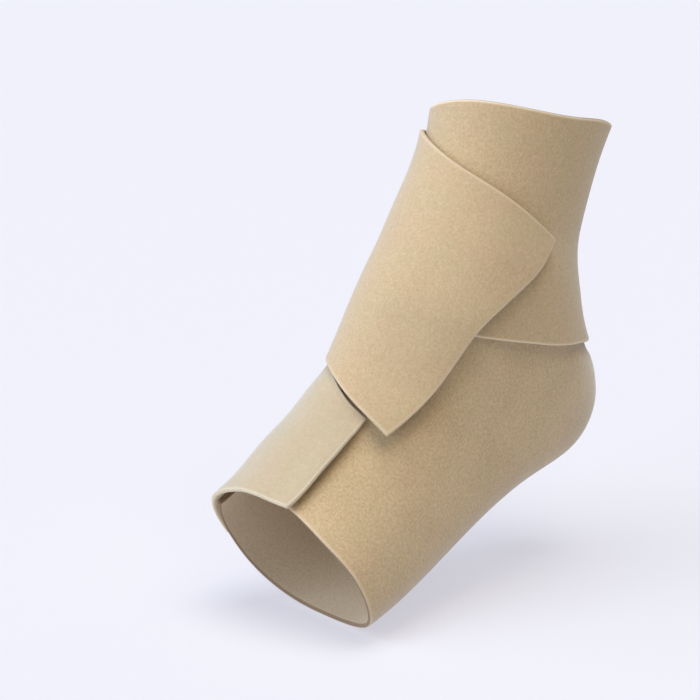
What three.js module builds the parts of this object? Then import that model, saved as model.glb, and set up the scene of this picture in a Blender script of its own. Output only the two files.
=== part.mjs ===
// Ankle and foot compression wrap for the left side, closed in its fitted form.
// Millimetres. +Z is up, -Y is toward the toe hem, +X is the outer side.
// The origin is the centre of the ankle, inside the wrap.
import * as THREE from "three";

// Wall thicknesses and the clear space between one layer and the next
const BODY_WALL = 1.8;
const BAND_WALL = 2.0;
const PAD_WALL = 0.8;
const LAYER_GAP = 0.45;

// Colours, in sRGB
const BODY_COLOR = 0xc4aa84;
const BAND_COLOR = 0xcdb48f;
const FLAP_COLOR = 0xd6c2a0;
const PAD_COLOR = 0xd9cdb6;
const CLOTH_ROUGHNESS = 0.95;
const PAD_ROUGHNESS = 0.85;

// Start and end of each change of layer, in stations, or in degrees round for the ramps so named
const COLLAR_RAMP = [2.6, 4.0];
const CLASP_RAMP = [5.0, 5.6];
const CLASP_BACK_DEGREES = [80, 26];
const STAND_DEGREES = [40, -4];
const STAND_RAMP = [3.9, 5.6];
const TOE_STAND_DEGREES = [17, 34];
const TOE_STAND_RAMP = [8.5, 9.3];
const TOE_CLASP_RAMP = [8.4, 9.0];
const TOE_CLASP_DEGREES = [-16, 10];
const BULGE_START_DEGREES = [98, 126];
const BULGE_END_DEGREES = [260, 236];
const BULGE_RISE = [0.14, 0.32];
const BULGE_FALL = [0.95, 0.4];

// How far off the inside form the band starts, how far the free ends of the two flaps stand off,
// and how far the body swells at the back just under the band
const BAND_START = 0.4;
const END_STAND = 1.9;
const TOE_STAND = 1.3;
const BODY_BULGE = 0.6;

// Sections of the inside form from the top rim to the toe hem, one row per station.
// Each is an oval between a front and a back point, given forward and up from the origin.
// Columns: front forward, front up, back forward, back up, outer half width, inner half width,
// sideways lean, lean of the front over the back, squareness of the back half.
const SECTIONS = [
  [-14.5, 103, -83.1, 70, 31.5, 32.0, -9, 0, 2.0],
  [-6.2, 85, -71.9, 52, 29.8, 31.0, -7, 0, 2.0],
  [0.5, 66, -62.6, 33, 28.9, 28.8, -5, 0, 2.0],
  [12, 48, -55, 14, 29.0, 28.5, -2.2, 0, 2.0],
  [22, 31, -53, -5, 31.5, 29.0, -0.5, 0, 2.0],
  [35.5, 12, -58, -24, 32.5, 30.5, 0.2, 0, 2.1],
  [46.5, -6, -66, -45, 31.5, 31.0, 0, 0, 2.2],
  [54.5, -18, -54.7, -64.6, 30.5, 31.5, 0, 0, 2.4],
  [63, -26.5, -25.6, -73.1, 31.5, 31.0, 0, -1, 2.6],
  [71, -36.5, 7, -84.8, 34.5, 31.5, 0, -3, 2.6],
  [82, -46, 38, -98.5, 39.0, 31.0, 0, -5, 2.6],
  [94, -56.5, 63, -108.5, 43.0, 31.5, 0, -5, 2.6],
  [106, -65.5, 85, -114.5, 44.5, 33.5, 0, -6, 2.6],
  [118, -75, 107, -119, 47.0, 35.0, 0, -6.5, 2.6],
];
const FRONT_SQUARE = 2.0;

// Soft swelling of the form on its outer side: its height, then its middle and reach round and along
const SWELL_HEIGHT = 2.2;
const SWELL_DEGREES = [57, 34];
const SWELL_STATIONS = [6.2, 3.6];

// Edges of each sheet on those sections. Columns: degrees round from the front by way of the outer
// side, and station.
const BODY_COLLAR = [[-14, 4.15], [60, 4.1], [120, 4.05], [180, 4.05], [240, 4.05], [312, 4.15]];
const BODY_HEM = [
  [-14, 11.26], [28, 11.26], [53, 11.4], [86, 11.43], [112, 11.49], [150, 11.45], [180, 11.43],
  [230, 11.5], [270, 11.58], [312, 11.6],
];
const FLAP_TOP = [
  [-88, 5.5], [-60, 5.85], [-35, 6.35], [-15, 6.95], [0, 7.42], [11.3, 7.77], [21, 8.03],
  [33.3, 8.27],
];
const FLAP_HEM = [
  [-88, 11.57], [-54, 11.68], [-29, 11.67], [-7, 11.54], [14, 11.45], [30.4, 11.37],
];
const FLAP_END = [[33.3, 8.27], [33.2, 8.91], [33.7, 9.63], [32.6, 10.43], [30.4, 11.37]];
const BAND_RIM = [
  [-94, 1.12], [-60, 1.32], [-27, 1.35], [10, 1.14], [37, 0.98], [62, 0.85], [91, 0.66],
  [114, 0.48], [146, 0.41], [180, 0.43], [215, 0.63], [264.5, 1.09],
];
const BAND_LOW = [
  [-94, 5], [-60, 5.04], [0, 5.2], [36, 5.36], [59, 5.35], [81, 5.25], [101, 5.16], [122, 5.04],
  [140, 4.99], [180, 4.98], [215, 4.97], [264.5, 4.99],
];
const INSTEP_TOP = [
  [-138, 0.72], [-106, 1.37], [-72, 1.69], [-38, 1.82], [-7, 2.11], [22.6, 2.41], [51.7, 2.62],
  [79.6, 2.89], [93.7, 3.08],
];
const INSTEP_LOW = [
  [-138, 5.02], [-100, 5.5], [-60, 6.2], [-30, 6.76], [-8, 7.21], [12, 7.74], [29, 8.16],
  [47.6, 8.62],
];
const INSTEP_END = [
  [93.7, 3.08], [88.7, 3.48], [83.2, 3.85], [73.1, 4.35], [65, 4.76], [58.6, 5.14], [54.8, 5.51],
  [50.8, 6.17], [49.3, 7.1], [50.2, 7.8], [47.6, 8.62],
];
const INSTEP_PAD = [[66, 3.25], [83, 3.35], [60, 4.85], [44, 4.75]];
const TOE_PAD = [[12, 9.2], [28, 9.2], [29, 10.9], [12, 10.9]];

// Grid of each sheet. Columns: steps round, steps along.
const BODY_GRID = [46, 24];
const FLAP_GRID = [18, 9];
const BAND_GRID = [46, 9];
const INSTEP_GRID = [34, 12];
const PAD_GRID = [4, 5];

// Weights that make a degree and a station into like distances along an edge
const DEGREE_LENGTH = 0.55;
const STATION_LENGTH = 21;

const SLOPE_STEP = 0.05;

function smoothRamp(value, [from, to]) {
  const share = THREE.MathUtils.clamp((value - from) / (to - from), 0, 1);
  return share * share * (3 - 2 * share);
}

// Natural cubic curve through the values at the given places
function naturalCurve(places, values) {
  const last = places.length - 1;
  const bend = new Array(last + 1).fill(0);
  const carry = new Array(last + 1).fill(0);
  for (let i = 1; i < last; i++) {
    const before = places[i] - places[i - 1];
    const after = places[i + 1] - places[i];
    const share = before / (before + after);
    const pivot = share * bend[i - 1] + 2;
    bend[i] = (share - 1) / pivot;
    const change = (values[i + 1] - values[i]) / after - (values[i] - values[i - 1]) / before;
    carry[i] = (6 * change / (before + after) - share * carry[i - 1]) / pivot;
  }
  const second = new Array(last + 1).fill(0);
  for (let i = last - 1; i > 0; i--) second[i] = bend[i] * second[i + 1] + carry[i];
  return (place) => {
    let i = 0;
    while (i < last - 1 && place > places[i + 1]) i++;
    const step = places[i + 1] - places[i];
    const a = (places[i + 1] - place) / step;
    const b = 1 - a;
    const curve = (a * a * a - a) * second[i] + (b * b * b - b) * second[i + 1];
    return a * values[i] + b * values[i + 1] + curve * step * step / 6;
  };
}

const stations = SECTIONS.map((row, index) => index);
const columnCurves = SECTIONS[0].map((_, column) =>
  naturalCurve(stations, SECTIONS.map((row) => row[column])));

function power(value, square) {
  return Math.sign(value) * Math.abs(value) ** (2 / square);
}

// Point on the inside form
function formPoint(degrees, station) {
  const [frontOut, frontUp, backOut, backUp, outer, inner, lean, tilt, backSquare] =
    columnCurves.map((curve) => curve(station));
  const angle = THREE.MathUtils.degToRad(degrees);
  const square = Math.cos(angle) >= 0 ? FRONT_SQUARE : backSquare;
  const along = power(Math.cos(angle), square);
  const across = power(Math.sin(angle), square);
  const half = across >= 0 ? outer : inner;
  const forward = (frontOut + backOut) / 2 + along * (frontOut - backOut) / 2;
  const up = (frontUp + backUp) / 2 + along * (frontUp - backUp) / 2;
  return new THREE.Vector3(lean + across * half + tilt * along, -forward, up);
}

function formNormal(degrees, station) {
  const round = formPoint(degrees + 1, station).sub(formPoint(degrees - 1, station));
  const down = formPoint(degrees, station + SLOPE_STEP).sub(formPoint(degrees, station - SLOPE_STEP));
  return down.cross(round).normalize();
}

function swelling(degrees, station) {
  const round = (degrees - SWELL_DEGREES[0]) / SWELL_DEGREES[1];
  const along = (station - SWELL_STATIONS[0]) / SWELL_STATIONS[1];
  return SWELL_HEIGHT * Math.max(1 - round * round - along * along, 0) ** 2;
}

function liftedPoint(degrees, station, lift) {
  const height = lift + swelling(degrees, station);
  return formPoint(degrees, station).addScaledVector(formNormal(degrees, station), height);
}

// Edge as a curve over 0 to 1 along its length
function edgeCurve(rows) {
  const lengths = [0];
  for (let i = 1; i < rows.length; i++) {
    const round = (rows[i][0] - rows[i - 1][0]) * DEGREE_LENGTH;
    const along = (rows[i][1] - rows[i - 1][1]) * STATION_LENGTH;
    lengths.push(lengths[i - 1] + Math.hypot(round, along));
  }
  const shares = lengths.map((length) => length / lengths[lengths.length - 1]);
  const degrees = naturalCurve(shares, rows.map((row) => row[0]));
  const station = naturalCurve(shares, rows.map((row) => row[1]));
  return (share) => new THREE.Vector2(degrees(share), station(share));
}

function straightEdge(from, to) {
  return (share) => from.clone().lerp(to, share);
}

// Sheet between a top, a low and an end edge; the start edge is straight
function sheetPatch(topRows, lowRows, endRows) {
  const top = edgeCurve(topRows);
  const low = edgeCurve(lowRows);
  const start = straightEdge(top(0), low(0));
  const end = endRows ? edgeCurve(endRows) : straightEdge(top(1), low(1));
  return (s, t) => {
    const place = top(s).multiplyScalar(1 - t).addScaledVector(low(s), t);
    place.addScaledVector(start(t), 1 - s).addScaledVector(end(t), s);
    place.addScaledVector(top(0), -(1 - s) * (1 - t)).addScaledVector(top(1), -s * (1 - t));
    place.addScaledVector(low(0), -(1 - s) * t).addScaledVector(low(1), -s * t);
    return place;
  };
}

function padPatch(corners) {
  const [topNear, topFar, lowFar, lowNear] = corners.map((row) => new THREE.Vector2(...row));
  const top = straightEdge(topNear, topFar);
  const low = straightEdge(lowNear, lowFar);
  return (s, t) => top(s).lerp(low(s), t);
}

// Height of the inner face of each layer above the inside form
function bandLift(station) {
  return BAND_START + (BODY_WALL + LAYER_GAP - BAND_START) * smoothRamp(station, COLLAR_RAMP);
}

const bandLowStation = naturalCurve(BAND_LOW.map((row) => row[0]), BAND_LOW.map((row) => row[1]));

function bodyLift(degrees, station) {
  const back = smoothRamp(degrees, BULGE_START_DEGREES) * smoothRamp(degrees, BULGE_END_DEGREES);
  const below = station - bandLowStation(degrees);
  return BODY_BULGE * back * smoothRamp(below, BULGE_RISE) * smoothRamp(below, BULGE_FALL);
}

function toePadLift() {
  return BODY_WALL + LAYER_GAP;
}

function flapLift(degrees, station) {
  const raise = smoothRamp(degrees, TOE_CLASP_DEGREES) * smoothRamp(station, TOE_CLASP_RAMP);
  const stand = smoothRamp(degrees, TOE_STAND_DEGREES) * smoothRamp(station, TOE_STAND_RAMP);
  return BODY_WALL + LAYER_GAP + raise * (PAD_WALL + LAYER_GAP) + stand * TOE_STAND;
}

function instepPadLift(station) {
  return bandLift(station) + BAND_WALL + LAYER_GAP;
}

const instepEndDegrees = naturalCurve(INSTEP_END.map((row) => row[1]), INSTEP_END.map((row) => row[0]));

function instepLift(degrees, station) {
  const fromEnd = instepEndDegrees(Math.max(station, INSTEP_END[0][1])) - degrees;
  const clasp = smoothRamp(fromEnd, CLASP_BACK_DEGREES) * (1 - smoothRamp(station, CLASP_RAMP));
  const stand = smoothRamp(fromEnd, STAND_DEGREES) * smoothRamp(station, STAND_RAMP);
  return instepPadLift(station) + clasp * (PAD_WALL + LAYER_GAP) + stand * END_STAND;
}

// Closed wall of even thickness over a patch
function wallGeometry(patch, [round, along], lift, wall) {
  const places = [];
  const faces = [];
  const row = along + 1;
  const face = (round + 1) * row;
  for (const offset of [0, wall]) {
    for (let i = 0; i <= round; i++) {
      for (let j = 0; j <= along; j++) {
        const place = patch(i / round, j / along);
        places.push(liftedPoint(place.x, place.y, lift(place.x, place.y) + offset));
      }
    }
  }
  const quad = (a, b, c, d) => faces.push(a, b, c, a, c, d);
  for (let i = 0; i < round; i++) {
    for (let j = 0; j < along; j++) {
      const corner = i * row + j;
      quad(corner, corner + row, corner + row + 1, corner + 1);
      quad(face + corner, face + corner + 1, face + corner + row + 1, face + corner + row);
    }
    const topNear = i * row;
    const lowNear = topNear + along;
    quad(topNear, face + topNear, face + topNear + row, topNear + row);
    quad(lowNear, lowNear + row, face + lowNear + row, face + lowNear);
  }
  for (let j = 0; j < along; j++) {
    const startNear = j;
    const endNear = round * row + j;
    quad(startNear, startNear + 1, face + startNear + 1, face + startNear);
    quad(endNear, face + endNear, face + endNear + 1, endNear + 1);
  }
  const geometry = new THREE.BufferGeometry();
  geometry.setAttribute("position", new THREE.Float32BufferAttribute(places.flatMap((p) => p.toArray()), 3));
  geometry.setIndex(faces);
  geometry.computeVertexNormals();
  return geometry;
}

function addPiece(group, name, geometry, color, roughness) {
  const material = new THREE.MeshStandardMaterial({ color, roughness, metalness: 0 });
  material.name = name;
  const mesh = new THREE.Mesh(geometry, material);
  mesh.name = name;
  group.add(mesh);
}

const wrap = new THREE.Group();
wrap.name = "compression_wrap";

const bodyPatch = sheetPatch(BODY_COLLAR, BODY_HEM);
const body = wallGeometry(bodyPatch, BODY_GRID, bodyLift, BODY_WALL);
addPiece(wrap, "foot_body", body, BODY_COLOR, CLOTH_ROUGHNESS);

const flapPatch = sheetPatch(FLAP_TOP, FLAP_HEM, FLAP_END);
const flap = wallGeometry(flapPatch, FLAP_GRID, flapLift, BAND_WALL);
addPiece(wrap, "forefoot_flap", flap, FLAP_COLOR, CLOTH_ROUGHNESS);

const bandPatch = sheetPatch(BAND_RIM, BAND_LOW);
const band = wallGeometry(bandPatch, BAND_GRID, (degrees, station) => bandLift(station), BAND_WALL);
addPiece(wrap, "ankle_band", band, BAND_COLOR, CLOTH_ROUGHNESS);

const instepPatch = sheetPatch(INSTEP_TOP, INSTEP_LOW, INSTEP_END);
const instep = wallGeometry(instepPatch, INSTEP_GRID, instepLift, BAND_WALL);
addPiece(wrap, "instep_flap", instep, BAND_COLOR, CLOTH_ROUGHNESS);

const toePad = wallGeometry(padPatch(TOE_PAD), PAD_GRID, toePadLift, PAD_WALL);
addPiece(wrap, "forefoot_hook_pad", toePad, PAD_COLOR, PAD_ROUGHNESS);

const ankleLift = (degrees, station) => instepPadLift(station);
const anklePad = wallGeometry(padPatch(INSTEP_PAD), PAD_GRID, ankleLift, PAD_WALL);
addPiece(wrap, "instep_hook_pad", anklePad, PAD_COLOR, PAD_ROUGHNESS);

export default wrap;
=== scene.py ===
# Ankle and foot compression wrap, closed in its fitted form
import math

import bpy
import numpy as np
from mathutils import Matrix, Vector
from mathutils.bvhtree import BVHTree
from mathutils.kdtree import KDTree


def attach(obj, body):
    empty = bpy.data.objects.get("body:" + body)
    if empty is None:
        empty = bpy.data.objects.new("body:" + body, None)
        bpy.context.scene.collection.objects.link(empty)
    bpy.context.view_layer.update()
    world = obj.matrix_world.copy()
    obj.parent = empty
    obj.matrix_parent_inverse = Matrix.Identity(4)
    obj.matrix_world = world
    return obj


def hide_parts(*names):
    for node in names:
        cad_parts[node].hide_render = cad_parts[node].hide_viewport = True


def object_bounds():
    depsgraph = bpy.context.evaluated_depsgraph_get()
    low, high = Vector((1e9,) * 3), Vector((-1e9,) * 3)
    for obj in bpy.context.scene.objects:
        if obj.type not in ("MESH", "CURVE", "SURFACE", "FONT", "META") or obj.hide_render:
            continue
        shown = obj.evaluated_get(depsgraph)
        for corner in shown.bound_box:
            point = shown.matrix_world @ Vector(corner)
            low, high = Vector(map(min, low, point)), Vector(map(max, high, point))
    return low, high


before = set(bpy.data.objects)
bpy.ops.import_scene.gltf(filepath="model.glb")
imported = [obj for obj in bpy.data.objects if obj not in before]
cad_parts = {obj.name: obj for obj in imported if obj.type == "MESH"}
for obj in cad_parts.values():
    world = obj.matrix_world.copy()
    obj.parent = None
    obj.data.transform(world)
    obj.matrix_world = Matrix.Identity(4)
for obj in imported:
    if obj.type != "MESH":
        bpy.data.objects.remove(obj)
cad_low, cad_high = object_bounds()

MM = 0.001

# Wall thicknesses and the clear space between layers, in millimetres
BODY_WALL = 1.8
BAND_WALL = 2.0
PAD_WALL = 0.8
LAYER_GAP = 0.45

# Rounding of the cut edges, in millimetres
BODY_EDGE = 0.6
BAND_EDGE = 0.8
PAD_EDGE = 0.2

# Columns and rows of each sheet's grid
BODY_GRID = (150, 110)
FLAP_GRID = (60, 50)
BAND_GRID = (150, 56)
INSTEP_GRID = (120, 64)
TOE_TAPE_GRID = (10, 14)
ANKLE_TAPE_GRID = (12, 14)

# Start and end of each change of layer, in stations, or in degrees round where so named
COLLAR_RAMP = (2.6, 4.0)
CLASP_RAMP = (5.0, 5.6)
CLASP_BACK_DEGREES = (80, 26)
STAND_DEGREES = (40, -4)
STAND_RAMP = (3.9, 5.6)
TOE_STAND_DEGREES = (17, 34)
TOE_STAND_RAMP = (8.5, 9.3)
TOE_CLASP_RAMP = (8.4, 9.0)
TOE_CLASP_DEGREES = (-16, 10)
BULGE_START_DEGREES = (98, 126)
BULGE_END_DEGREES = (260, 236)
BULGE_RISE = (0.14, 0.32)
BULGE_FALL = (0.95, 0.4)

# Heights of those changes, in millimetres
BAND_START = 0.4
END_STAND = 1.9
TOE_STAND = 1.3
BODY_BULGE = 0.6

# Free edges that stand a little off the layer under them, in millimetres, and the tuck of the
# instep flap's low edge toward the forefoot flap
INSTEP_LIP = 0.45
INSTEP_TUCK = 0.25
INSTEP_TOP_LIP = 0.15
INSTEP_END_LIP = 0.3
BAND_LIP = 0.8
FLAP_LIP = 0.3

# Where each lip starts and where it is full, as shares of its sheet, or in degrees round where so named
INSTEP_LIP_SHARES = (0.93, 1.0)
INSTEP_LIP_DEGREES = (20, 36)
INSTEP_TUCK_SHARES = (0.9, 1.0)
INSTEP_TUCK_DEGREES = (18, 2)
INSTEP_TOP_SHARES = (0.06, 0.0)
INSTEP_END_SHARES = (0.95, 1.0)
BAND_LIP_SHARES = (0.92, 1.0)
BAND_LIP_START_DEGREES = (66, 82)
BAND_LIP_END_DEGREES = (124, 110)
FLAP_LIP_SHARES = (0.9, 1.0)

# Sections of the inside form from the top rim to the toe hem, one row per station.
# Columns: front forward, front up, back forward, back up, outer half width, inner half width,
# sideways lean, lean of the front over the back, squareness of the back half.
SECTIONS = np.array([
    (-14.5, 103, -83.1, 70, 31.5, 32.0, -9, 0, 2.0),
    (-6.2, 85, -71.9, 52, 29.8, 31.0, -7, 0, 2.0),
    (0.5, 66, -62.6, 33, 28.9, 28.8, -5, 0, 2.0),
    (12, 48, -55, 14, 29.0, 28.5, -2.2, 0, 2.0),
    (22, 31, -53, -5, 31.5, 29.0, -0.5, 0, 2.0),
    (35.5, 12, -58, -24, 32.5, 30.5, 0.2, 0, 2.1),
    (46.5, -6, -66, -45, 31.5, 31.0, 0, 0, 2.2),
    (54.5, -18, -54.7, -64.6, 30.5, 31.5, 0, 0, 2.4),
    (63, -26.5, -25.6, -73.1, 31.5, 31.0, 0, -1, 2.6),
    (71, -36.5, 7, -84.8, 34.5, 31.5, 0, -3, 2.6),
    (82, -46, 38, -98.5, 39.0, 31.0, 0, -5, 2.6),
    (94, -56.5, 63, -108.5, 43.0, 31.5, 0, -5, 2.6),
    (106, -65.5, 85, -114.5, 44.5, 33.5, 0, -6, 2.6),
    (118, -75, 107, -119, 47.0, 35.0, 0, -6.5, 2.6),
])
FRONT_SQUARE = 2.0

# Soft swelling of the form on its outer side: its height, then its middle and reach round and along
SWELL_HEIGHT = 2.2
SWELL_DEGREES = (57, 34)
SWELL_STATIONS = (6.2, 3.6)

# Edges of each sheet on the form. Columns: degrees round from the front by way of the outer side,
# and station.
BODY_COLLAR = [(-14, 4.15), (60, 4.1), (120, 4.05), (180, 4.05), (240, 4.05), (312, 4.15)]
BODY_HEM = [
    (-14, 11.26), (28, 11.26), (53, 11.4), (86, 11.43), (112, 11.49), (150, 11.45), (180, 11.43),
    (230, 11.5), (270, 11.58), (312, 11.6),
]
FLAP_TOP = [
    (-88, 5.5), (-60, 5.85), (-35, 6.35), (-15, 6.95), (0, 7.42), (11.3, 7.77), (21, 8.03),
    (33.3, 8.27),
]
FLAP_HEM = [(-88, 11.57), (-54, 11.68), (-29, 11.67), (-7, 11.54), (14, 11.45), (30.4, 11.37)]
FLAP_END = [(33.3, 8.27), (33.2, 8.91), (33.7, 9.63), (32.6, 10.43), (30.4, 11.37)]
BAND_RIM = [
    (-94, 1.12), (-60, 1.32), (-27, 1.35), (10, 1.14), (37, 0.98), (62, 0.85), (91, 0.66),
    (114, 0.48), (146, 0.41), (180, 0.43), (215, 0.63), (264.5, 1.09),
]
BAND_LOW = [
    (-94, 5), (-60, 5.04), (0, 5.2), (36, 5.36), (59, 5.35), (81, 5.25), (101, 5.16), (122, 5.04),
    (140, 4.99), (180, 4.98), (215, 4.97), (264.5, 4.99),
]
INSTEP_TOP = [
    (-138, 0.72), (-106, 1.37), (-72, 1.69), (-38, 1.82), (-7, 2.11), (22.6, 2.41), (51.7, 2.62),
    (79.6, 2.89), (93.7, 3.08),
]
INSTEP_LOW = [
    (-138, 5.02), (-100, 5.5), (-60, 6.2), (-30, 6.76), (-8, 7.21), (12, 7.74), (29, 8.16),
    (47.6, 8.62),
]
INSTEP_END = [
    (93.7, 3.08), (88.7, 3.48), (83.2, 3.85), (73.1, 4.35), (65, 4.76), (58.6, 5.14), (54.8, 5.51),
    (50.8, 6.17), (49.3, 7.1), (50.2, 7.8), (47.6, 8.62),
]
INSTEP_PAD = [(66, 3.25), (83, 3.35), (60, 4.85), (44, 4.75)]
TOE_PAD = [(12, 9.2), (28, 9.2), (29, 10.9), (12, 10.9)]

# Weights that make a degree and a station into like distances along an edge
DEGREE_LENGTH = 0.55
STATION_LENGTH = 21

# Half steps over which the form's slope is taken, in degrees round and in stations
SLOPE_DEGREES = 1.0
SLOPE_STATIONS = 0.05


def smooth_ramp(value, ends):
    share = np.clip((value - ends[0]) / (ends[1] - ends[0]), 0, 1)
    return share * share * (3 - 2 * share)


def natural_curve(places, values):
    """Natural cubic curve through the values at the given places."""
    places = np.asarray(places, float)
    values = np.asarray(values, float)
    count = len(places)
    steps = np.diff(places)
    slopes = np.diff(values) / steps
    matrix = np.eye(count)
    right = np.zeros(count)
    for i in range(1, count - 1):
        matrix[i, i - 1] = steps[i - 1]
        matrix[i, i] = 2 * (steps[i - 1] + steps[i])
        matrix[i, i + 1] = steps[i]
        right[i] = 6 * (slopes[i] - slopes[i - 1])
    second = np.linalg.solve(matrix, right)

    def at(place):
        place = np.asarray(place, float)
        i = np.clip(np.searchsorted(places, place, side="left") - 1, 0, count - 2)
        step = steps[i]
        a = (places[i + 1] - place) / step
        b = 1 - a
        curve = (a**3 - a) * second[i] + (b**3 - b) * second[i + 1]
        return a * values[i] + b * values[i + 1] + curve * step**2 / 6

    return at


column_curves = [natural_curve(np.arange(len(SECTIONS)), column) for column in SECTIONS.T]


def form_points(degrees, station):
    front_out, front_up, back_out, back_up, outer, inner, lean, tilt, back_square = (
        curve(station) for curve in column_curves
    )
    angle = np.radians(degrees)
    share = 2 / np.where(np.cos(angle) >= 0, FRONT_SQUARE, back_square)
    along = np.sign(np.cos(angle)) * np.abs(np.cos(angle)) ** share
    across = np.sign(np.sin(angle)) * np.abs(np.sin(angle)) ** share
    half = np.where(across >= 0, outer, inner)
    forward = (front_out + back_out) / 2 + along * (front_out - back_out) / 2
    up = (front_up + back_up) / 2 + along * (front_up - back_up) / 2
    return np.stack([lean + across * half + tilt * along, -forward, up], axis=-1)


def form_normals(degrees, station):
    around = form_points(degrees + SLOPE_DEGREES, station) - form_points(degrees - SLOPE_DEGREES, station)
    down = form_points(degrees, station + SLOPE_STATIONS) - form_points(degrees, station - SLOPE_STATIONS)
    normal = np.cross(down, around)
    return normal / np.linalg.norm(normal, axis=-1, keepdims=True)


def swelling(degrees, station):
    round_share = (degrees - SWELL_DEGREES[0]) / SWELL_DEGREES[1]
    along_share = (station - SWELL_STATIONS[0]) / SWELL_STATIONS[1]
    return SWELL_HEIGHT * np.clip(1 - round_share**2 - along_share**2, 0, 1) ** 2


def lifted_points(degrees, station, lift):
    height = lift + swelling(degrees, station)
    return form_points(degrees, station) + form_normals(degrees, station) * height[..., None]


def edge_curve(rows):
    rows = np.asarray(rows, float)
    lengths = np.hypot(np.diff(rows[:, 0]) * DEGREE_LENGTH, np.diff(rows[:, 1]) * STATION_LENGTH)
    shares = np.concatenate([[0], np.cumsum(lengths)]) / lengths.sum()
    degrees = natural_curve(shares, rows[:, 0])
    station = natural_curve(shares, rows[:, 1])
    return lambda share: np.stack([degrees(share), station(share)], axis=-1)


def straight_edge(start, end):
    start = np.asarray(start, float)
    end = np.asarray(end, float)
    return lambda share: start + (end - start) * np.asarray(share)[..., None]


def sheet_patch(top_rows, low_rows, end_rows=None):
    """Places on a sheet between a top, a low and an end edge; the start edge is straight."""
    top = edge_curve(top_rows)
    low = edge_curve(low_rows)
    start = straight_edge(top_rows[0], low_rows[0])
    end = edge_curve(end_rows) if end_rows else straight_edge(top_rows[-1], low_rows[-1])
    corners = [np.asarray(c, float) for c in (top_rows[0], top_rows[-1], low_rows[0], low_rows[-1])]

    def at(s, t):
        s1 = s[..., None]
        t1 = t[..., None]
        place = top(s) * (1 - t1) + low(s) * t1 + start(t) * (1 - s1) + end(t) * s1
        place -= corners[0] * (1 - s1) * (1 - t1) + corners[1] * s1 * (1 - t1)
        place -= corners[2] * (1 - s1) * t1 + corners[3] * s1 * t1
        return place

    return at


def pad_patch(corners):
    top = straight_edge(corners[0], corners[1])
    low = straight_edge(corners[3], corners[2])
    return lambda s, t: top(s) * (1 - t[..., None]) + low(s) * t[..., None]


band_low_station = natural_curve([row[0] for row in BAND_LOW], [row[1] for row in BAND_LOW])
instep_end_degrees = natural_curve([row[1] for row in INSTEP_END], [row[0] for row in INSTEP_END])


# Height of each sheet's inner face off the form
def body_lift(degrees, station):
    back = smooth_ramp(degrees, BULGE_START_DEGREES) * smooth_ramp(degrees, BULGE_END_DEGREES)
    below = station - band_low_station(degrees)
    return BODY_BULGE * back * smooth_ramp(below, BULGE_RISE) * smooth_ramp(below, BULGE_FALL)


def flap_lift(degrees, station):
    raised = smooth_ramp(degrees, TOE_CLASP_DEGREES) * smooth_ramp(station, TOE_CLASP_RAMP)
    stand = smooth_ramp(degrees, TOE_STAND_DEGREES) * smooth_ramp(station, TOE_STAND_RAMP)
    return BODY_WALL + LAYER_GAP + raised * (PAD_WALL + LAYER_GAP) + stand * TOE_STAND


def band_lift(degrees, station):
    return BAND_START + (BODY_WALL + LAYER_GAP - BAND_START) * smooth_ramp(station, COLLAR_RAMP)


def instep_lift(degrees, station):
    from_end = instep_end_degrees(np.maximum(station, INSTEP_END[0][1])) - degrees
    clasp = smooth_ramp(from_end, CLASP_BACK_DEGREES) * (1 - smooth_ramp(station, CLASP_RAMP))
    stand = smooth_ramp(from_end, STAND_DEGREES) * smooth_ramp(station, STAND_RAMP)
    return instep_pad_lift(degrees, station) + clasp * (PAD_WALL + LAYER_GAP) + stand * END_STAND


def instep_pad_lift(degrees, station):
    return band_lift(degrees, station) + BAND_WALL + LAYER_GAP


def toe_pad_lift(degrees, station):
    return np.full_like(station, BODY_WALL + LAYER_GAP)


# Extra height of a sheet at its free edges, from its shares along and across and its degrees round
def instep_lip(s, t, degrees):
    top = INSTEP_TOP_LIP * smooth_ramp(t, INSTEP_TOP_SHARES)
    low = INSTEP_LIP * smooth_ramp(t, INSTEP_LIP_SHARES) * smooth_ramp(degrees, INSTEP_LIP_DEGREES)
    end = INSTEP_END_LIP * smooth_ramp(s, INSTEP_END_SHARES)
    tuck = INSTEP_TUCK * smooth_ramp(t, INSTEP_TUCK_SHARES) * smooth_ramp(degrees, INSTEP_TUCK_DEGREES)
    return np.maximum(np.maximum(top, low), end) - tuck


def band_lip(s, t, degrees):
    bare = smooth_ramp(degrees, BAND_LIP_START_DEGREES) * smooth_ramp(degrees, BAND_LIP_END_DEGREES)
    return BAND_LIP * smooth_ramp(t, BAND_LIP_SHARES) * bare


def flap_lip(s, t, degrees):
    return FLAP_LIP * smooth_ramp(s, FLAP_LIP_SHARES)


# Places of the materials on a sheet whose first material is its face
EDGE_SLOT = 1
LINING_SLOT = 2

EDGE_SEGMENTS = 4
EDGE_DEGREES = 50
SMOOTH_DEGREES = 40
OUTLINE_STEPS = 900


def deselect_all():
    bpy.ops.object.select_all(action="DESELECT")


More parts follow.
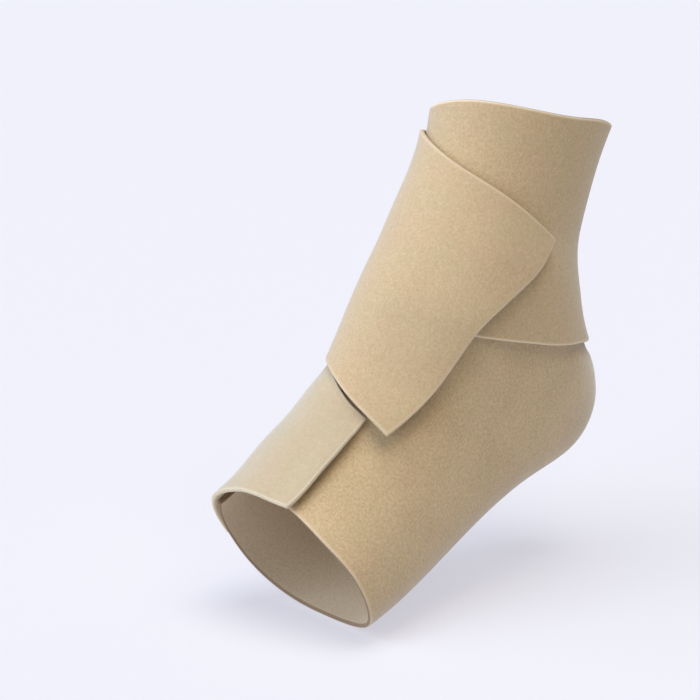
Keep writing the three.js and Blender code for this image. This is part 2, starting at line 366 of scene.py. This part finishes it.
def make_sheet(name, patch, grid, lift, wall, edge_round, materials, lip=None):
    """Sheet of even wall on the form: its outer face from a grid, then its wall and eased edges.

    The materials are those of the face, the cut edge and the inner face, in that order.
    """
    deselect_all()
    bpy.ops.mesh.primitive_grid_add(
        x_subdivisions=grid[0], y_subdivisions=grid[1], size=1, calc_uvs=True,
    )
    piece = bpy.context.object
    piece.name = name
    mesh = piece.data
    mesh.name = name
    for material in materials:
        mesh.materials.append(material)
    flat = np.empty(len(mesh.vertices) * 3)
    mesh.vertices.foreach_get("co", flat)
    flat = flat.reshape(-1, 3)
    s = flat[:, 0] + 0.5
    t = 0.5 - flat[:, 1]

    def outer_face(s, t):
        place = patch(s, t)
        height = lift(place[:, 0], place[:, 1]) + wall
        if lip:
            height = height + lip(s, t, place[:, 0])
        return lifted_points(place[:, 0], place[:, 1], height) * MM

    outer = outer_face(s, t)
    mesh.vertices.foreach_set("co", outer.ravel())
    mesh.update()
    scale_flat_map(mesh, outer, s, t)
    face = BVHTree.FromPolygons([Vector(p) for p in outer], [tuple(f.vertices) for f in mesh.polygons])
    give_wall(piece, wall, edge_round)

    depth = mesh.attributes.new("depth", "FLOAT", "POINT")
    values = [min(face.find_nearest(v.co)[3] / (wall * MM), 1.0) for v in mesh.vertices]
    depth.data.foreach_set("value", values)
    # Distance in from the outline, for the paler line along it that is partly a painted highlight
    outline = outline_points(outer_face)
    inset = mesh.attributes.new("inset", "FLOAT", "POINT")
    inset.data.foreach_set("value", [outline.find(v.co)[2] / MM for v in mesh.vertices])
    return piece


def give_wall(piece, wall, edge_round):
    """Wall inward from the outer face, with rounded edges."""
    solid = piece.modifiers.new("wall", "SOLIDIFY")
    solid.thickness = wall * MM
    solid.offset = -1
    solid.use_even_offset = True
    solid.material_offset = LINING_SLOT
    solid.material_offset_rim = EDGE_SLOT
    bpy.ops.object.modifier_apply(modifier=solid.name)
    ease = piece.modifiers.new("eased_edge", "BEVEL")
    ease.width = edge_round * MM
    ease.segments = EDGE_SEGMENTS
    ease.material = EDGE_SLOT
    ease.limit_method = "ANGLE"
    ease.angle_limit = math.radians(EDGE_DEGREES)
    bpy.ops.object.modifier_apply(modifier=ease.name)
    bpy.ops.object.shade_smooth_by_angle(angle=math.radians(SMOOTH_DEGREES))


def outline_points(outer_face):
    """Search tree over the outline of a sheet's outer face."""
    along = np.linspace(0, 1, OUTLINE_STEPS)
    low = np.zeros(OUTLINE_STEPS)
    high = np.ones(OUTLINE_STEPS)
    sides = [(along, low), (along, high), (low, along), (high, along)]
    points = np.concatenate([outer_face(s, t) for s, t in sides])
    tree = KDTree(len(points))
    for i, point in enumerate(points):
        tree.insert(point, i)
    tree.balance()
    return tree


def scale_flat_map(mesh, outer, s, t):
    """UV map in metres, as the sheet lies flat."""
    width, length = flat_size(outer, s, t)
    uv = mesh.uv_layers.active.data
    coords = np.empty(len(uv) * 2)
    uv.foreach_get("uv", coords)
    coords = coords.reshape(-1, 2) * (length, width)
    uv.foreach_set("uv", coords.ravel())


def flat_size(outer, s, t):
    """Mean width and mean length of a sheet over its grid."""
    columns = np.unique(np.round(s, 6))
    rows = np.unique(np.round(t, 6))
    order = np.lexsort((s, t))
    points = outer[order].reshape(len(rows), len(columns), 3)
    length = np.linalg.norm(np.diff(points, axis=1), axis=2).sum(axis=1).mean()
    width = np.linalg.norm(np.diff(points, axis=0), axis=2).sum(axis=0).mean()
    return width, length


# Sizes of the patterns in the cloth, in millimetres
FIBRE_SIZE = 0.9
FUZZ_SIZE = 0.4
MOTTLE_SIZE = 2.4
CLOUD_SIZE = 14.0
KNIT_FIBRE_SIZE = 1.0
WORN_SIZE = 18.0
EDGE_GRAIN_SIZE = 0.5
LINING_GRAIN_SIZE = 0.8
HOOK_PITCH = 0.9

# Distance from one wale of the knit to the next, and from the toe hem to where the wales fade,
# in millimetres
WALE_PITCH = 1.05
HEM_WALES = 38

# Distance from one band of the wave texture to the next at a scale of 1
WAVE_BAND = 2 * math.pi / 20

# Distance in from the outline, in millimetres, where the paler line starts to fade and where it ends: a
# line that is partly paler fibres at the cut and partly a painted highlight of the edge catching light
OUTLINE_PALE_AND_HIGHLIGHT = (0.85, 1.5)

# Places of the colours on the ramps
TONE_STOPS = (0.30, 0.50, 0.70)
SOFT_STOPS = (0.35, 0.65)
GRAIN_STOPS = (0.30, 0.65)
RIB_STOPS = (0.15, 0.85)
NEAR_HEM_STOPS = (0.35, 1.0)
WORN_STOPS = (0.45, 0.68)
LAYER_STOPS = (0.0, 0.10, 0.26, 0.78, 0.92)
HOOK_STOPS = (0.1, 0.5)

# Black and white for masks, then shades that a cloth's own colour is multiplied by
BLACK = (0, 0, 0)
WHITE = (255, 255, 255)
MOTTLE_SHADE = (250, 249, 247)
RIB_SHADE = (241, 239, 234)
GRAIN_SHADE = (232, 230, 226)
BRUSHED_CLOUDS = ((255, 252, 250), (252, 254, 249))
KNIT_CLOUDS = ((255, 252, 249), (252, 253, 248))

# How strongly the wales show near the toe hem, as a grey
NEAR_HEM_SHARE = (150, 150, 150)

# Depth of the fuzz on a brushed cloth, as a share of its grain
FUZZ_SHARE = 0.6

# Fibre ends catch a slightly cool light
SHEEN_TINT = (0.86, 0.94, 1.0, 1.0)
SHEEN_ROUGHNESS = 0.5
CLOTH_SPECULAR = 0.25

HOOK_COLORS = ((226, 216, 196), (196, 184, 160))


def linear(color):
    """Linear colour of an sRGB colour given from 0 to 255."""
    parts = [c / 255 for c in color]
    return tuple(c / 12.92 if c <= 0.04045 else ((c + 0.055) / 1.055) ** 2.4 for c in parts) + (1.0,)


class Finish:
    """A cloth material and the nodes that its colour and bump come from."""

    def __init__(self, name, roughness, sheen):
        self.material = bpy.data.materials.new(name)
        self.material.use_nodes = True
        self.nodes = self.material.node_tree.nodes
        self.links = self.material.node_tree.links
        self.shader = self.nodes["Principled BSDF"]
        self.shader.inputs["Roughness"].default_value = roughness
        self.shader.inputs["Specular IOR Level"].default_value = CLOTH_SPECULAR
        self.shader.inputs["Sheen Weight"].default_value = sheen
        self.shader.inputs["Sheen Roughness"].default_value = SHEEN_ROUGHNESS
        self.shader.inputs["Sheen Tint"].default_value = SHEEN_TINT
        self.coords = self.nodes.new("ShaderNodeTexCoord")
        self.height = None

    def noise(self, size, detail=2.0, roughness=0.5):
        node = self.nodes.new("ShaderNodeTexNoise")
        node.inputs["Scale"].default_value = 1 / (size * MM)
        node.inputs["Detail"].default_value = detail
        node.inputs["Roughness"].default_value = roughness
        self.links.new(self.coords.outputs["Object"], node.inputs["Vector"])
        return node.outputs["Fac"]

    def ramp(self, fac, places, colors):
        node = self.nodes.new("ShaderNodeValToRGB")
        while len(node.color_ramp.elements) < len(places):
            node.color_ramp.elements.new(1.0)
        for element, place, color in zip(node.color_ramp.elements, places, colors):
            element.position = place
            element.color = linear(color)
        self.links.new(fac, node.inputs["Fac"])
        return node.outputs["Color"]

    def mix(self, factor, a, b, mode="MIX"):
        node = self.nodes.new("ShaderNodeMix")
        node.data_type = "RGBA"
        node.blend_type = mode
        sockets = {i.name: i for i in node.inputs if i.enabled and i.type in ("VALUE", "RGBA")}
        for name, value in (("Factor", factor), ("A", a), ("B", b)):
            if isinstance(value, (int, float, tuple)):
                sockets[name].default_value = value
            else:
                self.links.new(value, sockets[name])
        return next(o for o in node.outputs if o.type == "RGBA")

    def multiply(self, a, b):
        return self.mix(1.0, a, b, "MULTIPLY")

    def math(self, operation, a, b):
        node = self.nodes.new("ShaderNodeMath")
        node.operation = operation
        for i, value in enumerate((a, b)):
            if isinstance(value, (int, float)):
                node.inputs[i].default_value = value
            else:
                self.links.new(value, node.inputs[i])
        return node.outputs["Value"]

    def bump(self, height, strength, distance):
        node = self.nodes.new("ShaderNodeBump")
        node.inputs["Strength"].default_value = strength
        node.inputs["Distance"].default_value = distance * MM
        self.links.new(height, node.inputs["Height"])
        if self.height is not None:
            self.links.new(self.height, node.inputs["Normal"])
        self.height = node.outputs["Normal"]
        self.links.new(self.height, self.shader.inputs["Normal"])

    def attribute(self, name):
        node = self.nodes.new("ShaderNodeAttribute")
        node.attribute_name = name
        return node.outputs["Fac"]

    def pale_fibre_and_highlight_line(self, tone, pale_and_highlight):
        """Paler line along the cut outline: partly paler fibres at the cut, partly a painted highlight of
        the edge catching light.

        A ramp ends at 1, so the distance from the outline is given as a share of the line's end.
        """
        share = self.math("DIVIDE", self.attribute("inset"), OUTLINE_PALE_AND_HIGHLIGHT[1])
        line = self.ramp(share, [OUTLINE_PALE_AND_HIGHLIGHT[0] / OUTLINE_PALE_AND_HIGHLIGHT[1], 1.0], [WHITE, BLACK])
        return self.mix(line, tone, linear(pale_and_highlight))

    def color(self, socket):
        self.links.new(socket, self.shader.inputs["Base Color"])


def brushed_cloth(name, dark, mid, light, pale_and_highlight, grain, sheen):
    """Brushed loop face: short fibres with a sandy mottle."""
    finish = Finish(name, roughness=0.92, sheen=sheen)
    fine = finish.noise(FIBRE_SIZE, detail=3.0, roughness=0.6)
    tone = finish.ramp(fine, TONE_STOPS, [dark, mid, light])
    speckle = finish.ramp(finish.noise(MOTTLE_SIZE), SOFT_STOPS, [MOTTLE_SHADE, WHITE])
    cloud = finish.ramp(finish.noise(CLOUD_SIZE), SOFT_STOPS, BRUSHED_CLOUDS)
    tone = finish.multiply(finish.multiply(tone, speckle), cloud)
    # Paler line along the outline, partly paler fibres and partly a painted highlight
    finish.color(finish.pale_fibre_and_highlight_line(tone, pale_and_highlight))
    finish.bump(fine, strength=grain, distance=0.25)
    finish.bump(finish.noise(FUZZ_SIZE), strength=grain * FUZZ_SHARE, distance=0.12)
    return finish.material


def knit_cloth(name, dark, mid, light, pale_and_highlight):
    """Fine knit face: narrow wales that show near the toe hem and in patches, worn soft elsewhere."""
    finish = Finish(name, roughness=0.9, sheen=0.66)
    wave = finish.nodes.new("ShaderNodeTexWave")
    wave.wave_type = "BANDS"
    wave.bands_direction = "X"
    wave.inputs["Scale"].default_value = WAVE_BAND / (WALE_PITCH * MM)
    wave.inputs["Distortion"].default_value = 1.8
    wave.inputs["Detail"].default_value = 2.0
    finish.links.new(finish.coords.outputs["UV"], wave.inputs["Vector"])
    wales = wave.outputs["Fac"]
    flat = finish.nodes.new("ShaderNodeSeparateXYZ")
    finish.links.new(finish.coords.outputs["UV"], flat.inputs["Vector"])
    from_hem = finish.math("DIVIDE", flat.outputs["Y"], HEM_WALES * MM)
    near_hem = finish.ramp(from_hem, NEAR_HEM_STOPS, [NEAR_HEM_SHARE, BLACK])
    worn = finish.ramp(finish.noise(WORN_SIZE, detail=1.0), WORN_STOPS, [BLACK, WHITE])
    patches = finish.math("MAXIMUM", near_hem, worn)
    fine = finish.noise(KNIT_FIBRE_SIZE, detail=3.0, roughness=0.6)
    tone = finish.ramp(fine, TONE_STOPS, [dark, mid, light])
    ribs = finish.ramp(wales, RIB_STOPS, [RIB_SHADE, WHITE])
    cloud = finish.ramp(finish.noise(CLOUD_SIZE), SOFT_STOPS, KNIT_CLOUDS)
    tone = finish.multiply(finish.mix(patches, tone, finish.multiply(tone, ribs)), cloud)
    # Paler line along the outline, partly paler fibres and partly a painted highlight
    finish.color(finish.pale_fibre_and_highlight_line(tone, pale_and_highlight))
    finish.bump(fine, strength=0.35, distance=0.25)
    finish.bump(finish.math("MULTIPLY", wales, patches), strength=0.12, distance=0.3)
    return finish.material


def cut_edge(name, face, foam_and_painted_light, lining_and_painted_light):
    """Cut edge of the laminate, coloured by depth from the face through the face cloth, the foamed core
    and the inner layer, in colours that carry painted highlight and painted shade as given for each
    piece.
    """
    finish = Finish(name, roughness=0.95, sheen=0.2)
    # Colours by depth as given for each piece, painted highlight and painted shade among them
    layers = finish.ramp(finish.attribute("depth"), LAYER_STOPS, [face, face, foam_and_painted_light, foam_and_painted_light, lining_and_painted_light])
    fine = finish.noise(EDGE_GRAIN_SIZE)
    finish.color(finish.multiply(layers, finish.ramp(fine, GRAIN_STOPS, [GRAIN_SHADE, WHITE])))
    finish.bump(fine, strength=0.4, distance=0.2)
    return finish.material


def plain_lining(name, dark, light):
    finish = Finish(name, roughness=0.95, sheen=0.15)
    fine = finish.noise(LINING_GRAIN_SIZE)
    finish.color(finish.ramp(fine, SOFT_STOPS, [dark, light]))
    finish.bump(fine, strength=0.25, distance=0.2)
    return finish.material


def hook_tape(name):
    """Moulded tape set with small hooks."""
    finish = Finish(name, roughness=0.7, sheen=0.0)
    hooks = finish.nodes.new("ShaderNodeTexVoronoi")
    hooks.inputs["Scale"].default_value = 1 / (HOOK_PITCH * MM)
    finish.links.new(finish.coords.outputs["UV"], hooks.inputs["Vector"])
    finish.color(finish.ramp(hooks.outputs["Distance"], HOOK_STOPS, HOOK_COLORS))
    finish.bump(hooks.outputs["Distance"], strength=0.6, distance=0.3)
    return finish.material


# Each face's paler outline colour is partly paler fibres and partly a painted highlight
band_face = brushed_cloth(
    "brushed_band_face", dark=(184, 160, 125), mid=(195, 171, 136), light=(206, 182, 147),
    pale_and_highlight=(207, 185, 151), grain=0.3, sheen=0.42,
)
instep_face = brushed_cloth(
    "brushed_instep_face", dark=(187, 163, 129), mid=(196, 172, 138), light=(205, 181, 147),
    pale_and_highlight=(203, 180, 147), grain=0.25, sheen=0.46,
)
flap_face = brushed_cloth(
    "smooth_flap_face", dark=(185, 167, 138), mid=(190, 172, 143), light=(195, 177, 148),
    pale_and_highlight=(197, 180, 152), grain=0.15, sheen=0.78,
)
body_face = knit_cloth(
    "knit_body_face", dark=(186, 161, 124), mid=(199, 174, 137), light=(212, 187, 150),
    pale_and_highlight=(210, 186, 151),
)
# Band edge: paler face band, partly pale fibres and partly a painted highlight; dark core, painted shade
# on the inner part of the wall for the dark line under the band's low edge
band_edge = cut_edge(
    "band_cut_edge", face=(234, 214, 183), foam_and_painted_light=(134, 112, 86), lining_and_painted_light=(196, 176, 146),
)
# Instep edge: pale through the whole wall, partly a lighter core and partly a painted highlight that
# lifts the wall out of its shade
instep_edge = cut_edge(
    "instep_cut_edge", face=(216, 195, 163), foam_and_painted_light=(214, 192, 159), lining_and_painted_light=(204, 184, 154),
)
# Forefoot flap edge: pale through the whole wall, partly a lighter core and partly a painted highlight
# that lifts the wall out of its shade
flap_edge = cut_edge(
    "flap_cut_edge", face=(214, 201, 176), foam_and_painted_light=(216, 201, 174), lining_and_painted_light=(214, 198, 170),
)
# Body edge: paler face band, partly pale fibres and partly a painted highlight; dark core and inner
# layer, painted shade on the inner part of the wall where the foot would shade it
body_edge = cut_edge(
    "body_cut_edge", face=(216, 194, 162), foam_and_painted_light=(138, 114, 88), lining_and_painted_light=(150, 127, 102),
)
lining_finish = plain_lining("inner_lining", dark=(200, 180, 150), light=(212, 194, 165))
hook_finish = hook_tape("hook_tape_face")


def finish_piece(piece, node):
    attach(piece, "root")
    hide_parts(node)


body = make_sheet(
    "foot_body_sheet", sheet_patch(BODY_COLLAR, BODY_HEM), BODY_GRID, body_lift, BODY_WALL, BODY_EDGE,
    [body_face, body_edge, lining_finish],
)
finish_piece(body, "foot_body")

flap = make_sheet(
    "forefoot_flap_sheet", sheet_patch(FLAP_TOP, FLAP_HEM, FLAP_END), FLAP_GRID, flap_lift, BAND_WALL,
    BAND_EDGE, [flap_face, flap_edge, lining_finish], flap_lip,
)
finish_piece(flap, "forefoot_flap")

band = make_sheet(
    "ankle_band_sheet", sheet_patch(BAND_RIM, BAND_LOW), BAND_GRID, band_lift, BAND_WALL, BAND_EDGE,
    [band_face, band_edge, lining_finish], band_lip,
)
finish_piece(band, "ankle_band")

instep = make_sheet(
    "instep_flap_sheet", sheet_patch(INSTEP_TOP, INSTEP_LOW, INSTEP_END), INSTEP_GRID, instep_lift,
    BAND_WALL, BAND_EDGE, [instep_face, instep_edge, lining_finish], instep_lip,
)
finish_piece(instep, "instep_flap")

tape_layers = [hook_finish, hook_finish, hook_finish]
toe_tape = make_sheet(
    "forefoot_hook_tape", pad_patch(TOE_PAD), TOE_TAPE_GRID, toe_pad_lift, PAD_WALL, PAD_EDGE,
    tape_layers,
)
finish_piece(toe_tape, "forefoot_hook_pad")

ankle_tape = make_sheet(
    "instep_hook_tape", pad_patch(INSTEP_PAD), ANKLE_TAPE_GRID, instep_pad_lift, PAD_WALL, PAD_EDGE,
    tape_layers,
)
finish_piece(ankle_tape, "instep_hook_pad")

# Floor under the lowest point, in metres
FLOOR_DROP = 0.0006
FLOOR_SIZE = 12.0
FLOOR_COLOR = (156, 154, 152)
FLOOR_GLOW = (230, 232, 248)
FLOOR_GLOW_STRENGTH = 0.62
FLOOR_ROUGHNESS = 0.8

deselect_all()
bpy.ops.mesh.primitive_plane_add(size=FLOOR_SIZE, location=(0, 0, cad_low.z - FLOOR_DROP))
floor = bpy.context.object
floor.name = "studio_floor"
floor_finish = bpy.data.materials.new("pale_floor")
floor_finish.use_nodes = True
floor_finish.cycles.emission_sampling = "NONE"
floor_shader = floor_finish.node_tree.nodes["Principled BSDF"]
floor_shader.inputs["Base Color"].default_value = linear(FLOOR_COLOR)
floor_shader.inputs["Emission Color"].default_value = linear(FLOOR_GLOW)
floor_shader.inputs["Emission Strength"].default_value = FLOOR_GLOW_STRENGTH
floor_shader.inputs["Roughness"].default_value = FLOOR_ROUGHNESS
floor.data.materials.append(floor_finish)

# Camera: its direction and distance in metres from the origin, and the origin's pixel in the square frame
VIEW_AZIMUTH = math.radians(50)
VIEW_ELEVATION = math.radians(15)
VIEW_DISTANCE = 1.2
FRAME_PIXELS = 700
FOCAL_PIXELS = 3000
ORIGIN_PIXEL = (455, 305)
SENSOR = 36.0
CLIP_END = 50

back = Vector((
    math.sin(VIEW_AZIMUTH) * math.cos(VIEW_ELEVATION),
    -math.cos(VIEW_AZIMUTH) * math.cos(VIEW_ELEVATION),
    math.sin(VIEW_ELEVATION),
))
right = Vector((math.cos(VIEW_AZIMUTH), math.sin(VIEW_AZIMUTH), 0))
up = back.cross(right)
aim_right = (FRAME_PIXELS / 2 - ORIGIN_PIXEL[0]) / FOCAL_PIXELS
aim_up = (ORIGIN_PIXEL[1] - FRAME_PIXELS / 2) / FOCAL_PIXELS
view_back = (back - right * aim_right - up * aim_up).normalized()
view_right = (right - view_back * right.dot(view_back)).normalized()
view_up = view_back.cross(view_right)
view_place = Matrix((view_right, view_up, view_back)).transposed().to_4x4()
view_place.translation = back * VIEW_DISTANCE

camera_data = bpy.data.cameras.new("photo_camera")
camera_data.sensor_width = SENSOR
camera_data.lens = SENSOR * FOCAL_PIXELS / FRAME_PIXELS
camera_data.clip_end = CLIP_END
camera = bpy.data.objects.new("photo_camera", camera_data)
camera.matrix_world = view_place
bpy.context.scene.collection.objects.link(camera)
bpy.context.scene.camera = camera


def soft_sun(name, degrees_right, elevation, energy, color, angle):
    """Broad studio light, placed by its degrees to the right of the camera and its height."""
    turn = math.radians(degrees_right)
    rise = math.radians(elevation)
    toward_camera = Vector((back.x, back.y, 0)).normalized()
    aside = toward_camera * math.cos(turn) + right * math.sin(turn)
    direction = aside * math.cos(rise) + Vector((0, 0, math.sin(rise)))
    data = bpy.data.lights.new(name, "SUN")
    data.energy = energy
    data.color = color
    data.angle = math.radians(angle)
    light = bpy.data.objects.new(name, data)
    light.rotation_euler = direction.to_track_quat("Z", "Y").to_euler()
    bpy.context.scene.collection.objects.link(light)


soft_sun("left_side", degrees_right=-72, elevation=18, energy=3.3, color=(0.80, 0.87, 1.0), angle=75)
soft_sun("overhead", degrees_right=0, elevation=85, energy=2.0, color=(0.87, 0.91, 1.0), angle=45)
soft_sun("front_right", degrees_right=40, elevation=62, energy=0.9, color=(1.0, 0.87, 0.58), angle=40)

SKY_COLOR = (0.95, 0.97, 1.0, 1.0)
SKY_STRENGTH = 0.05

world = bpy.data.worlds.new("studio")
world.use_nodes = True
bpy.context.scene.world = world
sky = world.node_tree.nodes["Background"]
sky.inputs["Color"].default_value = SKY_COLOR
sky.inputs["Strength"].default_value = SKY_STRENGTH

bpy.context.scene.view_settings.view_transform = "Standard"
